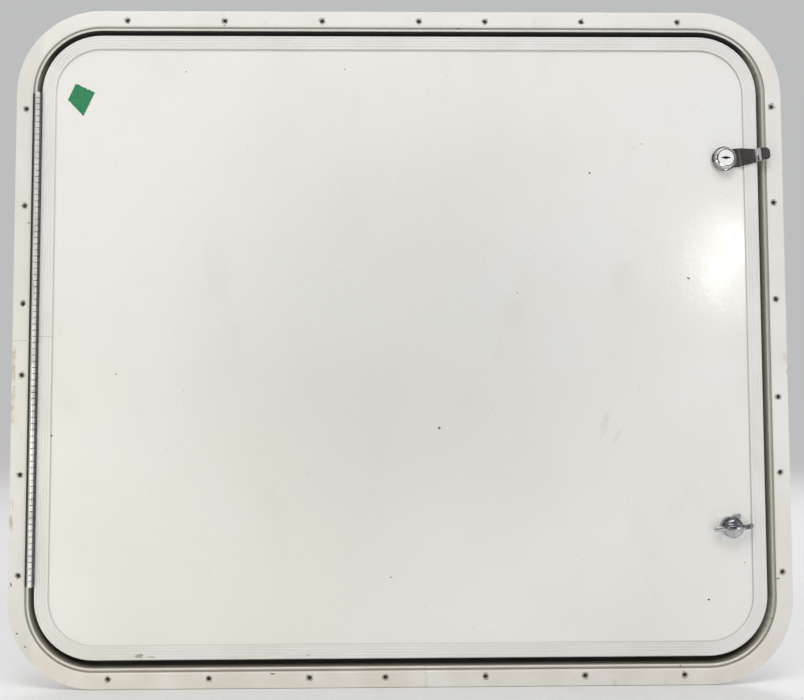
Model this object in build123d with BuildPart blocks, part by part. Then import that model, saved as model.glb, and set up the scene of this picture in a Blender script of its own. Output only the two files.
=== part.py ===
from build123d import *
import os
from math import asin, cos, degrees, radians, sin, sqrt

# A side-hinged cargo access door for a caravan wall: a white aluminium frame bent from one
# extrusion, a sandwich panel in a ribbed edge trim, a continuous hinge down the left side,
# and a key lock with a finger pull above a thumb turn on the right.
#
# Millimetres. X runs to the right, Y into the wall and Z up. The origin is the middle of the
# frame, in the plane where the back of the flange lies on the wall. Insets are measured
# inwards from the outer edge of the flange, and every ring follows that edge.

# Frame extrusion
FRAME_W = 800.0
FRAME_H = 698.5
FRAME_R = 87.5
FLANGE_W = 17.0
FLANGE_T = 3.0
FLANGE_EDGE = 0.8
BEVEL_W = 1.8
BEVEL_DROP = 0.6
GROOVE_W = 2.0
GROOVE_FLOOR = 0.9
BEAD_W = 2.0
BEAD_EDGE = 0.6
JAMB_T = 1.6
JAMB_DEPTH = 31.0
LIP_W = 15.0
LIP_T = 1.6
SEAM_GAP = 0.4
FRAME_SEAM_Z = 3.7
NICK_Z = -30.0
NICK_L = 8.0
NICK_DEPTH = 1.8

# Screw holes in the flange: two runs along each side, each starting at its own distance from
# the corner bend
SCREW_R = 2.3
SCREW_INSET = 10.4
SCREW_PITCH = 101.6
BOTTOM_LEFT_START = 14.5
BOTTOM_LEFT_COUNT = 3
BOTTOM_RIGHT_START = 25.7
BOTTOM_RIGHT_COUNT = 4
TOP_LEFT_START = 26.5
TOP_LEFT_COUNT = 4
TOP_RIGHT_START = 21.1
TOP_RIGHT_COUNT = 3
LEFT_LOW_START = 26.8
LEFT_LOW_COUNT = 3
LEFT_HIGH_START = 16.9
LEFT_HIGH_COUNT = 3
RIGHT_LOW_START = 26.0
RIGHT_LOW_COUNT = 2
RIGHT_HIGH_START = 13.5
RIGHT_HIGH_COUNT = 4

# Bulb seal stuck to the front of the stop lip
SEAL_W = 10.0
SEAL_FROM_JAMB = 2.4
SEAL_SHOULDER = 3.0
SEAL_CLEAR = 0.3

# Continuous hinge
KNUCKLE_D = 5.4
KNUCKLE_FLATS = 8
KNUCKLE_PITCH = 6.35
KNUCKLE_GAP = 0.2
LEAF_T = 1.1
LEAF_DEPTH = 19.0
LEAF_NOTCH = 3.2
PIN_FIT = 0.05
PIN_SHORT = 0.4
AXIS_PROUD = 2.5
HINGE_TOP_GAP = 0.05
HINGE_FOOT_GAP = 15.4

# Door panel in its edge trim, which stops a little short of the foot of the frame
DOOR_LIFT = 2.7
DOOR_T = 25.4
TRIM_FACE_W = 14.0
TRIM_T = 1.5
TRIM_EDGE = 0.9
RIB_COUNT = 4
RIB_PITCH = 2.8
RIB_W = 0.9
RIB_DEPTH = 0.35
TRIM_SEAM_Z = 7.8
PANEL_FIT = 0.2
SKIN_T = 2.0

# What the key lock and the thumb turn share
LATCH_FROM_EDGE = 35.6
KEY_Z = 192.5
THUMB_Z = -190.0
BARREL_R = 9.5
BARREL_HOLE_FIT = 0.25
TURN_FIT = 0.05
SHOULDER = 0.4
CAM_CLEAR = 5.0
CAM_T = 2.4
CAM_HUB_W = 16.0
CAM_REACH = 33.0
CAM_TIP_W = 12.0
CAM_CORNER = 3.5
TAIL_SQUARE = 6.0
TAIL_FIT = 0.05
TAIL_PAST_CAM = 0.2
SCREW_HEAD_ACROSS = 10.0
SCREW_HEAD_T = 2.6
NUT_ACROSS = 24.0
NUT_T = 4.5
NUT_FIT = 0.05
NUT_BORE_FLATS = 12

# Key lock head
KEY_FLANGE_R = 13.2
KEY_FLANGE_T = 1.6
KEY_HEAD_R = 11.2
KEY_HEAD_H = 5.6
KEY_HEAD_EDGE = 1.5
PLUG_R = 8.2
PLUG_SUNK = 0.3
KEYWAY_L = 9.0
KEYWAY_W = 1.6
KEYWAY_MID_L = 3.6
KEYWAY_MID_W = 3.0
KEYWAY_DEPTH = 4.0

# Finger pull clamped under the key lock: a bent strap that ends over the flange
PULL_T = 1.2
PULL_TILT = 6.0
PULL_HUB_R = 12.4
PULL_JOGGLE_START = 15.5
PULL_JOGGLE_RUN = 3.0
PULL_ROOT_W = 20.0
PULL_BEND = 33.5
PULL_BEND_W = 14.2
PULL_RISE_RUN = 4.0
PULL_RISE = 5.6
PULL_LENGTH = 46.5
PULL_TIP_W = 12.0
PULL_TIP_R = 4.5
PULL_FOLD_R = 1.4

# Thumb turn: a square base, a domed knob with two wings and a raised band between them
BASE_SQUARE = 24.6
BASE_CORNER = 1.2
BASE_T = 1.6
THUMB_TILT = 6.7
KNOB_R = 10.75
KNOB_GAP = 0.3
KNOB_SKIRT = 5.0
DOME_R = 11.2
SPINDLE_R = 5.0
WING_SPAN = 41.0
WING_W = 5.2
WING_H = 4.4
WING_LIFT = 3.2
BAND_W = 3.4
BAND_PROUD = 0.8

# Places that follow from the sizes above
Y_AXIS = (0, 1, 0)
FRONT_Y = -FLANGE_T
BEAD_INSET = FLANGE_W + GROOVE_W
JAMB_INSET = BEAD_INSET + BEAD_W
LIP_INSET = JAMB_INSET + LIP_W
LIP_FRONT_Y = JAMB_DEPTH - LIP_T
DOOR_INSET = JAMB_INSET + KNUCKLE_D
DOOR_BACK_Y = FRONT_Y + DOOR_T
SKIN_INSET = DOOR_INSET + TRIM_T + PANEL_FIT
SKIN_FACE_Y = FRONT_Y + TRIM_T
CORE_FRONT_Y = SKIN_FACE_Y + SKIN_T
PANEL_BACK_Y = DOOR_BACK_Y - TRIM_T
CORE_BACK_Y = PANEL_BACK_Y - SKIN_T
HINGE_X = -FRAME_W / 2 + JAMB_INSET + KNUCKLE_D / 2
HINGE_Y = FRONT_Y - AXIS_PROUD
HINGE_ROOM = FRAME_H - 2 * FRAME_R - HINGE_TOP_GAP - HINGE_FOOT_GAP
KNUCKLE_COUNT = 2 * int(HINGE_ROOM / (2 * KNUCKLE_PITCH))
HINGE_L = KNUCKLE_COUNT * KNUCKLE_PITCH
HINGE_FOOT_Z = FRAME_H / 2 - FRAME_R - HINGE_TOP_GAP - HINGE_L
BORE_R = KNUCKLE_D / 2 - LEAF_T
LATCH_X = FRAME_W / 2 - DOOR_INSET - LATCH_FROM_EDGE
KEY_AT = (LATCH_X, KEY_Z)
THUMB_AT = (LATCH_X, THUMB_Z)
CAM_FRONT_Y = JAMB_DEPTH + CAM_CLEAR
CAM_BACK_Y = CAM_FRONT_Y + CAM_T
TAIL_END_Y = CAM_BACK_Y + TAIL_PAST_CAM
BARREL_END_Y = CAM_FRONT_Y - SHOULDER

os.makedirs("parts", exist_ok=True)


def save(builder, name):
    """Label a finished piece and write it to its own file."""
    builder.part.label = name
    export_step(builder.part, f"parts/{name}.step")


def upright(y):
    """The upright plane at depth y, seen from the front: X to the right and Z up."""
    return Plane.XZ.offset(-y)


def upright_at(place, y, tilt=0.0):
    """The upright plane at depth y, centred on a place in the door and turned by tilt."""
    x, z = place
    return Plane((x, y, z), x_dir=(cos(radians(tilt)), 0, sin(radians(tilt))), z_dir=(0, -1, 0))


def lengthways_at(place, tilt=0.0):
    """A plane through a latch's axis: outwards along the tilt, then Y."""
    x, z = place
    along = (cos(radians(tilt)), 0, sin(radians(tilt)))
    return Plane((x, 0, z), x_dir=along, z_dir=(-sin(radians(tilt)), 0, cos(radians(tilt))))


def outline(plane, corners):
    """A face on a plane, from its corner points."""
    with BuildSketch(plane) as face:
        with BuildLine():
            Polyline(*corners, close=True)
        make_face()
    return face.sketch


def turned(corners, place):
    """Turn a half section, given as (radius, y) corners, about a latch's axis."""
    x, z = place
    revolve(outline(lengthways_at(place), corners), axis=Axis((x, 0, z), Y_AXIS))


def bent_ring(section, lift=0.0):
    """Carry a section round the frame: four straight lengths, each followed by a corner bend.

    lift raises the foot of the ring.
    """
    height = FRAME_H - lift
    middle = Vector(0, 0, lift / 2)
    for quarter in range(4):
        angle = radians(90 * quarter)
        inward = Vector(sin(angle), 0, cos(angle))
        along = Vector(-cos(angle), 0, sin(angle))
        level = quarter % 2 == 0
        side_length = (FRAME_W if level else height) - 2 * FRAME_R
        half_across = (height if level else FRAME_W) / 2
        start = middle - inward * half_across - along * (side_length / 2)
        end = start + along * side_length
        bend = Axis(end + inward * FRAME_R, Y_AXIS)
        extrude(section(Plane(start, x_dir=inward, z_dir=along)), amount=side_length)
        revolve(section(Plane(end, x_dir=inward, z_dir=along)), axis=bend, revolution_arc=90)


def butt_seam(z, inset, width):
    """Cut the thin gap on the hinge side where the two ends of a bent length meet."""
    middle_x = -FRAME_W / 2 + inset + width / 2
    with BuildSketch(Plane((middle_x, FRONT_Y, z), x_dir=(1, 0, 0), z_dir=Y_AXIS)) as gap:
        Rectangle(width + SEAM_GAP, SEAM_GAP)
    extrude(gap.sketch, amount=JAMB_DEPTH - FRONT_Y, mode=Mode.SUBTRACT)


def frame_section(plane):
    """The frame's profile: flange, bevel, groove, bead, jamb and stop lip."""
    jamb_outer = JAMB_INSET - JAMB_T
    corners = [
        (0, 0),
        (0, FRONT_Y + FLANGE_EDGE),
        (FLANGE_EDGE, FRONT_Y),
        (FLANGE_W - BEVEL_W, FRONT_Y),
        (FLANGE_W, FRONT_Y + BEVEL_DROP),
        (FLANGE_W, -GROOVE_FLOOR),
        (BEAD_INSET, -GROOVE_FLOOR),
        (BEAD_INSET, FRONT_Y + BEAD_EDGE),
        (BEAD_INSET + BEAD_EDGE, FRONT_Y),
        (JAMB_INSET - BEAD_EDGE, FRONT_Y),
        (JAMB_INSET, FRONT_Y + BEAD_EDGE),
        (JAMB_INSET, LIP_FRONT_Y),
        (LIP_INSET, LIP_FRONT_Y),
        (LIP_INSET, JAMB_DEPTH),
        (jamb_outer, JAMB_DEPTH),
        (jamb_outer, 0),
    ]
    return outline(plane, corners)


def seal_section(plane):
    """The seal's profile: a flat foot on the lip and a bulb with sloped shoulders towards the door."""
    near = JAMB_INSET + SEAL_FROM_JAMB
    far = near + SEAL_W
    tip = DOOR_BACK_Y + SEAL_CLEAR
    corners = [
        (near, LIP_FRONT_Y),
        (near, tip + SEAL_SHOULDER),
        (near + SEAL_SHOULDER, tip),
        (far - SEAL_SHOULDER, tip),
        (far, tip + SEAL_SHOULDER),
        (far, LIP_FRONT_Y),
    ]
    return outline(plane, corners)


def trim_section(plane):
    """The trim's profile: a channel over the panel's edge, with fine grooves along its face."""
    web = DOOR_INSET + TRIM_T
    inner = DOOR_INSET + TRIM_FACE_W
    first_rib = DOOR_INSET + (TRIM_FACE_W - (RIB_COUNT - 1) * RIB_PITCH) / 2
    corners = [
        (DOOR_INSET + TRIM_EDGE, DOOR_BACK_Y),
        (DOOR_INSET, DOOR_BACK_Y - TRIM_EDGE),
        (DOOR_INSET, FRONT_Y + TRIM_EDGE),
        (DOOR_INSET + TRIM_EDGE, FRONT_Y),
    ]
    for rib in range(RIB_COUNT):
        middle = first_rib + rib * RIB_PITCH
        corners += [
            (middle - RIB_W / 2, FRONT_Y),
            (middle, FRONT_Y + RIB_DEPTH),
            (middle + RIB_W / 2, FRONT_Y),
        ]
    corners += [
        (inner, FRONT_Y),
        (inner, SKIN_FACE_Y),
        (web, SKIN_FACE_Y),
        (web, PANEL_BACK_Y),
        (inner, PANEL_BACK_Y),
        (inner, DOOR_BACK_Y),
    ]
    return outline(plane, corners)


def screw_places():
    """The middles of all the flange's screw holes, as (x, z)."""
    edge_x = FRAME_W / 2 - SCREW_INSET
    edge_z = FRAME_H / 2 - SCREW_INSET
    bend_x = FRAME_W / 2 - FRAME_R
    bend_z = FRAME_H / 2 - FRAME_R
    level_runs = [
        (-edge_z, -1, BOTTOM_LEFT_START, BOTTOM_LEFT_COUNT),
        (-edge_z, 1, BOTTOM_RIGHT_START, BOTTOM_RIGHT_COUNT),
        (edge_z, -1, TOP_LEFT_START, TOP_LEFT_COUNT),
        (edge_z, 1, TOP_RIGHT_START, TOP_RIGHT_COUNT),
    ]
    upright_runs = [
        (-edge_x, -1, LEFT_LOW_START, LEFT_LOW_COUNT),
        (-edge_x, 1, LEFT_HIGH_START, LEFT_HIGH_COUNT),
        (edge_x, -1, RIGHT_LOW_START, RIGHT_LOW_COUNT),
        (edge_x, 1, RIGHT_HIGH_START, RIGHT_HIGH_COUNT),
    ]
    places = []
    for z, end, margin, count in level_runs:
        places += [(end * (bend_x - margin - i * SCREW_PITCH), z) for i in range(count)]
    for x, end, margin, count in upright_runs:
        places += [(x, end * (bend_z - margin - i * SCREW_PITCH)) for i in range(count)]
    return places


with BuildPart() as frame:
    bent_ring(frame_section)
    with BuildSketch(upright(0)):
        with Locations(*screw_places()):
            Circle(SCREW_R)
    extrude(amount=FLANGE_T, mode=Mode.SUBTRACT)
    butt_seam(FRAME_SEAM_Z, 0, LIP_INSET)
    nick_corners = [
        (FRAME_W / 2, NICK_Z - NICK_L / 2),
        (FRAME_W / 2 - NICK_DEPTH, NICK_Z),
        (FRAME_W / 2, NICK_Z + NICK_L / 2),
    ]
    extrude(outline(upright(0), nick_corners), amount=FLANGE_T, mode=Mode.SUBTRACT)
save(frame, "frame")

with BuildPart() as stop_seal:
    bent_ring(seal_section)
save(stop_seal, "stop_seal")

with BuildPart() as door_trim:
    bent_ring(trim_section, DOOR_LIFT)
    butt_seam(TRIM_SEAM_Z, DOOR_INSET, TRIM_FACE_W)
save(door_trim, "door_trim")


def panel_sheet(front_y, back_y):
    """One layer of the panel, with the two holes that the latch barrels pass through."""
    height = FRAME_H - DOOR_LIFT - 2 * SKIN_INSET
    with BuildSketch(upright(back_y)) as sheet:
        with Locations((0, DOOR_LIFT / 2)):
            RectangleRounded(FRAME_W - 2 * SKIN_INSET, height, FRAME_R - SKIN_INSET)
        with Locations(KEY_AT, THUMB_AT):
            Circle(BARREL_R + BARREL_HOLE_FIT, mode=Mode.SUBTRACT)
    extrude(sheet.sketch, amount=back_y - front_y)


with BuildPart() as outer_skin:
    panel_sheet(SKIN_FACE_Y, CORE_FRONT_Y)
save(outer_skin, "outer_skin")

with BuildPart() as foam_core:
    panel_sheet(CORE_FRONT_Y, CORE_BACK_Y)
save(foam_core, "foam_core")

with BuildPart() as inner_skin:
    panel_sheet(CORE_BACK_Y, PANEL_BACK_Y)
save(inner_skin, "inner_skin")


def hinge_leaf(side, first_notch):
    """One leaf, rolled round the pin, with every second knuckle cut away.

    side is -1 for the leaf on the jamb and 1 for the leaf on the door's edge. Knuckles and bore
    have flats round the same round pin, because there are so many of them.
    """
    strip_x = HINGE_X + side * (KNUCKLE_D - LEAF_T) / 2
    with BuildSketch(Plane.XY.offset(HINGE_FOOT_Z)) as rolled:
        with Locations((strip_x, HINGE_Y + LEAF_DEPTH / 2)):
            Rectangle(LEAF_T, LEAF_DEPTH)
        with Locations((HINGE_X, HINGE_Y)):
            RegularPolygon(KNUCKLE_D / 2, KNUCKLE_FLATS, major_radius=False, rotation=180 / KNUCKLE_FLATS)
            Rectangle(2 * BORE_R, 2 * BORE_R, mode=Mode.SUBTRACT)
    extrude(rolled.sketch, amount=HINGE_L)
    notch_y = HINGE_Y + LEAF_NOTCH - KNUCKLE_D
    notch_mid_z = HINGE_FOOT_Z + (first_notch + KNUCKLE_COUNT / 2 - 0.5) * KNUCKLE_PITCH
    notch_plane = Plane((HINGE_X, notch_y, notch_mid_z), x_dir=Y_AXIS, z_dir=(1, 0, 0))
    with BuildSketch(notch_plane) as notches:
        with GridLocations(1, 2 * KNUCKLE_PITCH, 1, KNUCKLE_COUNT // 2):
            Rectangle(2 * KNUCKLE_D, KNUCKLE_PITCH + KNUCKLE_GAP)
    extrude(notches.sketch, amount=KNUCKLE_D, both=True, mode=Mode.SUBTRACT)


with BuildPart() as hinge_frame_leaf:
    hinge_leaf(-1, 1)
save(hinge_frame_leaf, "hinge_frame_leaf")

with BuildPart() as hinge_door_leaf:
    hinge_leaf(1, 0)
save(hinge_door_leaf, "hinge_door_leaf")

with BuildPart() as hinge_pin:
    with BuildSketch(Plane.XY.offset(HINGE_FOOT_Z + PIN_SHORT)):
        with Locations((HINGE_X, HINGE_Y)):
            Circle(BORE_R - PIN_FIT)
    extrude(amount=HINGE_L - 2 * PIN_SHORT)
save(hinge_pin, "hinge_pin")

# The finger pull lies on the panel, steps up onto the trim and lifts away over the flange
with BuildPart() as finger_pull:
    low_y = SKIN_FACE_Y - PULL_T / 2
    trim_y = FRONT_Y - PULL_T / 2
    tip_y = trim_y - PULL_RISE
    with BuildSketch(lengthways_at(KEY_AT, PULL_TILT)):
        with BuildLine():
            FilletPolyline(
                (-PULL_HUB_R, low_y),
                (PULL_JOGGLE_START, low_y),
                (PULL_JOGGLE_START + PULL_JOGGLE_RUN, trim_y),
                (PULL_BEND, trim_y),
                (PULL_BEND + PULL_RISE_RUN, tip_y),
                (PULL_LENGTH, tip_y),
                radius=PULL_FOLD_R,
            )
        trace(line_width=PULL_T)
    extrude(amount=PULL_HUB_R, both=True)
    with BuildSketch(upright_at(KEY_AT, CORE_FRONT_Y, PULL_TILT)):
        Circle(PULL_HUB_R)
        with BuildLine():
            FilletPolyline(
                (0, -PULL_ROOT_W / 2),
                (PULL_JOGGLE_START, -PULL_ROOT_W / 2),
                (PULL_BEND, -PULL_BEND_W / 2),
                (PULL_LENGTH, -PULL_TIP_W / 2),
                (PULL_LENGTH, PULL_TIP_W / 2),
                (PULL_BEND, PULL_BEND_W / 2),
                (PULL_JOGGLE_START, PULL_ROOT_W / 2),
                (0, PULL_ROOT_W / 2),
                radius=[0, 0, 0, PULL_TIP_R, PULL_TIP_R, 0, 0, 0],
                close=True,
            )
        make_face()
        Circle(BARREL_R + BARREL_HOLE_FIT, mode=Mode.SUBTRACT)
    extrude(amount=CORE_FRONT_Y - tip_y + PULL_T, mode=Mode.INTERSECT)
save(finger_pull, "finger_pull")

# Key lock: a stepped round head over the finger pull, with a barrel through the panel
KEY_SEAT_Y = SKIN_FACE_Y - PULL_T
KEY_NECK_Y = KEY_SEAT_Y - KEY_FLANGE_T
KEY_FACE_Y = KEY_NECK_Y - KEY_HEAD_H
PLUG_FACE_Y = KEY_FACE_Y + PLUG_SUNK

with BuildPart() as key_lock_body:
    head_corners = [
        (PLUG_R + TURN_FIT, KEY_FACE_Y),
        (KEY_HEAD_R - KEY_HEAD_EDGE, KEY_FACE_Y),
        (KEY_HEAD_R, KEY_FACE_Y + KEY_HEAD_EDGE),
        (KEY_HEAD_R, KEY_NECK_Y),
        (KEY_FLANGE_R, KEY_NECK_Y),
        (KEY_FLANGE_R, KEY_SEAT_Y),
        (BARREL_R, KEY_SEAT_Y),
        (BARREL_R, BARREL_END_Y),
        (PLUG_R + TURN_FIT, BARREL_END_Y),
    ]
    turned(head_corners, KEY_AT)
save(key_lock_body, "key_lock_body")


def square_tail(place):
    """The square end of a turning spindle, which carries the cam."""
    with BuildSketch(upright_at(place, TAIL_END_Y)) as square:
        Rectangle(TAIL_SQUARE, TAIL_SQUARE)
    extrude(square.sketch, amount=TAIL_END_Y - CAM_FRONT_Y)


with BuildPart() as key_lock_plug:
    with BuildSketch(upright_at(KEY_AT, CAM_FRONT_Y)):
        Circle(PLUG_R)
    extrude(amount=CAM_FRONT_Y - PLUG_FACE_Y)
    square_tail(KEY_AT)
    with BuildSketch(upright_at(KEY_AT, PLUG_FACE_Y)):
        Rectangle(KEYWAY_L, KEYWAY_W)
        Rectangle(KEYWAY_MID_L, KEYWAY_MID_W)
    extrude(amount=-KEYWAY_DEPTH, mode=Mode.SUBTRACT)
save(key_lock_plug, "key_lock_plug")

# Thumb turn: the base and barrel stay in the door, and the knob and its spindle turn in them
BASE_FRONT_Y = SKIN_FACE_Y - BASE_T
KNOB_FOOT_Y = BASE_FRONT_Y - KNOB_GAP
KNOB_RIM_Y = KNOB_FOOT_Y - KNOB_SKIRT
DOME_Y = KNOB_RIM_Y + sqrt(DOME_R**2 - KNOB_R**2)
DOME_ARC = degrees(asin(KNOB_R / DOME_R))
WING_BACK_Y = KNOB_FOOT_Y - WING_LIFT

with BuildPart() as thumb_latch_body:
    with BuildSketch(upright_at(THUMB_AT, SKIN_FACE_Y, THUMB_TILT)):
        base = Rectangle(BASE_SQUARE, BASE_SQUARE)
        chamfer(base.vertices(), BASE_CORNER)
    extrude(amount=BASE_T)
    with BuildSketch(upright_at(THUMB_AT, BARREL_END_Y)):
        Circle(BARREL_R)
    extrude(amount=BARREL_END_Y - SKIN_FACE_Y)
    with BuildSketch(upright_at(THUMB_AT, BARREL_END_Y)):
        Circle(SPINDLE_R + TURN_FIT)
    extrude(amount=BARREL_END_Y - BASE_FRONT_Y, mode=Mode.SUBTRACT)
save(thumb_latch_body, "thumb_latch_body")

with BuildPart() as thumb_knob:
    with BuildSketch(lengthways_at(THUMB_AT)):
        with BuildLine():
            CenterArc((0, DOME_Y), DOME_R, -90, DOME_ARC)
            Polyline(
                (KNOB_R, KNOB_RIM_Y),
                (KNOB_R, KNOB_FOOT_Y),
                (SPINDLE_R, KNOB_FOOT_Y),
                (SPINDLE_R, CAM_FRONT_Y),
                (0, CAM_FRONT_Y),
                (0, DOME_Y - DOME_R),
            )
        make_face()
    revolve(axis=Axis((LATCH_X, 0, THUMB_Z), Y_AXIS))
    with BuildSketch(upright_at(THUMB_AT, WING_BACK_Y, THUMB_TILT)):
        SlotOverall(WING_SPAN, WING_W)
    extrude(amount=WING_H)
    with BuildSketch(lengthways_at(THUMB_AT, THUMB_TILT)):
        with BuildLine():
            ridge = CenterArc((0, DOME_Y), DOME_R + BAND_PROUD, -90 - DOME_ARC, 2 * DOME_ARC)
            Line(ridge @ 1, ridge @ 0)
        make_face()
    extrude(amount=BAND_W / 2, both=True)
    square_tail(THUMB_AT)
save(thumb_knob, "thumb_knob")


def barrel_nut(place):
    """The thin hexagon nut that pulls a latch tight to the panel."""
    with BuildSketch(upright_at(place, PANEL_BACK_Y + NUT_T)) as hexagon:
        RegularPolygon(NUT_ACROSS / 2, 6, major_radius=False)
        RegularPolygon(BARREL_R + NUT_FIT, NUT_BORE_FLATS, major_radius=False, mode=Mode.SUBTRACT)
    extrude(hexagon.sketch, amount=NUT_T)


def latch_cam(place):
    """A flat tapered cam on the spindle's square, hanging down when the latch is open."""
    blade_corners = [
        (-CAM_HUB_W / 2, CAM_HUB_W / 2),
        (CAM_HUB_W / 2, CAM_HUB_W / 2),
        (CAM_TIP_W / 2, -CAM_REACH),
        (-CAM_TIP_W / 2, -CAM_REACH),
    ]
    with BuildSketch(upright_at(place, CAM_BACK_Y)) as blade:
        tapered = Polygon(*blade_corners, align=None)
        chamfer(tapered.vertices(), CAM_CORNER)
        Rectangle(TAIL_SQUARE + 2 * TAIL_FIT, TAIL_SQUARE + 2 * TAIL_FIT, mode=Mode.SUBTRACT)
    extrude(blade.sketch, amount=CAM_T)


def cam_screw(place):
    """The hexagon head of the screw that holds the cam on the square."""
    with BuildSketch(upright_at(place, TAIL_END_Y + SCREW_HEAD_T)) as head:
        RegularPolygon(SCREW_HEAD_ACROSS / 2, 6, major_radius=False)
    extrude(head.sketch, amount=SCREW_HEAD_T)


for latch, place in (("key", KEY_AT), ("thumb", THUMB_AT)):
    with BuildPart() as nut:
        barrel_nut(place)
    save(nut, f"{latch}_nut")
    with BuildPart() as cam:
        latch_cam(place)
    save(cam, f"{latch}_cam")
    with BuildPart() as screw:
        cam_screw(place)
    save(screw, f"{latch}_cam_screw")
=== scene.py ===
from math import cos, pi, radians, sin, sqrt

import bmesh
import bpy
from mathutils import Matrix, Vector, noise


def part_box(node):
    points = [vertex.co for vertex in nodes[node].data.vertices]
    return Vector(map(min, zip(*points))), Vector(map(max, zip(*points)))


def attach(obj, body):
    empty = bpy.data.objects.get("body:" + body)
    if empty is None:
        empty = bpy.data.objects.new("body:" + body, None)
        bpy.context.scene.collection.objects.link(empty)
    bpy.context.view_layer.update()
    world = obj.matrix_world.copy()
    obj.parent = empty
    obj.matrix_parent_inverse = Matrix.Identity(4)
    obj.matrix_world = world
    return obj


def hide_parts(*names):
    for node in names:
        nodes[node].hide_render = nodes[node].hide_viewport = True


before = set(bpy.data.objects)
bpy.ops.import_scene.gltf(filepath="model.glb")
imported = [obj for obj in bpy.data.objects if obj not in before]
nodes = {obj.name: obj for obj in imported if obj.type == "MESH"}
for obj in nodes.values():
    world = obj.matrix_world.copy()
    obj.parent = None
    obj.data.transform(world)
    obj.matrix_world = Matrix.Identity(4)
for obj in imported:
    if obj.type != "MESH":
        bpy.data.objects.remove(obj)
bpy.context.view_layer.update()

# Looks for a white cargo access door: painted aluminium frame and trim, a glossy gel-coat panel,
# a bright continuous hinge, chrome locks, and the dirt, chips and tape that the used one carries.
# Metres, in the frame of the solids: X to the right, Y into the wall, Z up.

MM = 0.001

# Sizes that the solids share with this script
CORNER_R = 87.5 * MM
FLANGE_W = 17.0 * MM
GROOVE_W = 2.0 * MM
BEAD_W = 2.0 * MM
SCREW_R = 2.3 * MM
SCREW_INSET = 10.4 * MM
SCREW_PITCH = 101.6 * MM
SEAL_W = 10.0 * MM
KNUCKLE_PITCH = 6.35 * MM
LEAF_T = 1.1 * MM
LEAF_NOTCH = 3.2 * MM
DOOR_LIFT = 2.7 * MM
TRIM_FACE_W = 14.0 * MM
RIB_DEPTH = 0.35 * MM

# Runs of screw holes: the edge's side, the end that the run starts from, its start past the bend in
# millimetres, and its count of holes
LEVEL_RUNS = [(-1, -1, 14.5, 3), (-1, 1, 25.7, 4), (1, -1, 26.5, 4), (1, 1, 21.1, 3)]
UPRIGHT_RUNS = [(-1, -1, 26.8, 3), (-1, 1, 16.9, 3), (1, -1, 26.0, 2), (1, 1, 13.5, 4)]


def middle(node):
    """The middle of a node's box."""
    low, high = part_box(node)
    return (low + high) / 2


# Places read from the solids
FRAME_LOW, FRAME_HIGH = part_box("frame")
HALF_W = FRAME_HIGH.x
HALF_H = FRAME_HIGH.z
FLANGE_FACE_Y = FRAME_LOW.y
SKIN_FACE_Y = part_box("outer_skin")[0].y
TRIM_FACE_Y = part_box("door_trim")[0].y
TRIM_INNER = HALF_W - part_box("door_trim")[1].x + TRIM_FACE_W
GROOVE_END = FLANGE_W + GROOVE_W
HINGE_LOW, HINGE_HIGH = (corner.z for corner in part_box("hinge_pin"))
KNOB_CENTRE = middle("thumb_latch_body")

# A mark lies this far in front of the surface that carries it
PROUD = 0.04 * MM


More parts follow.
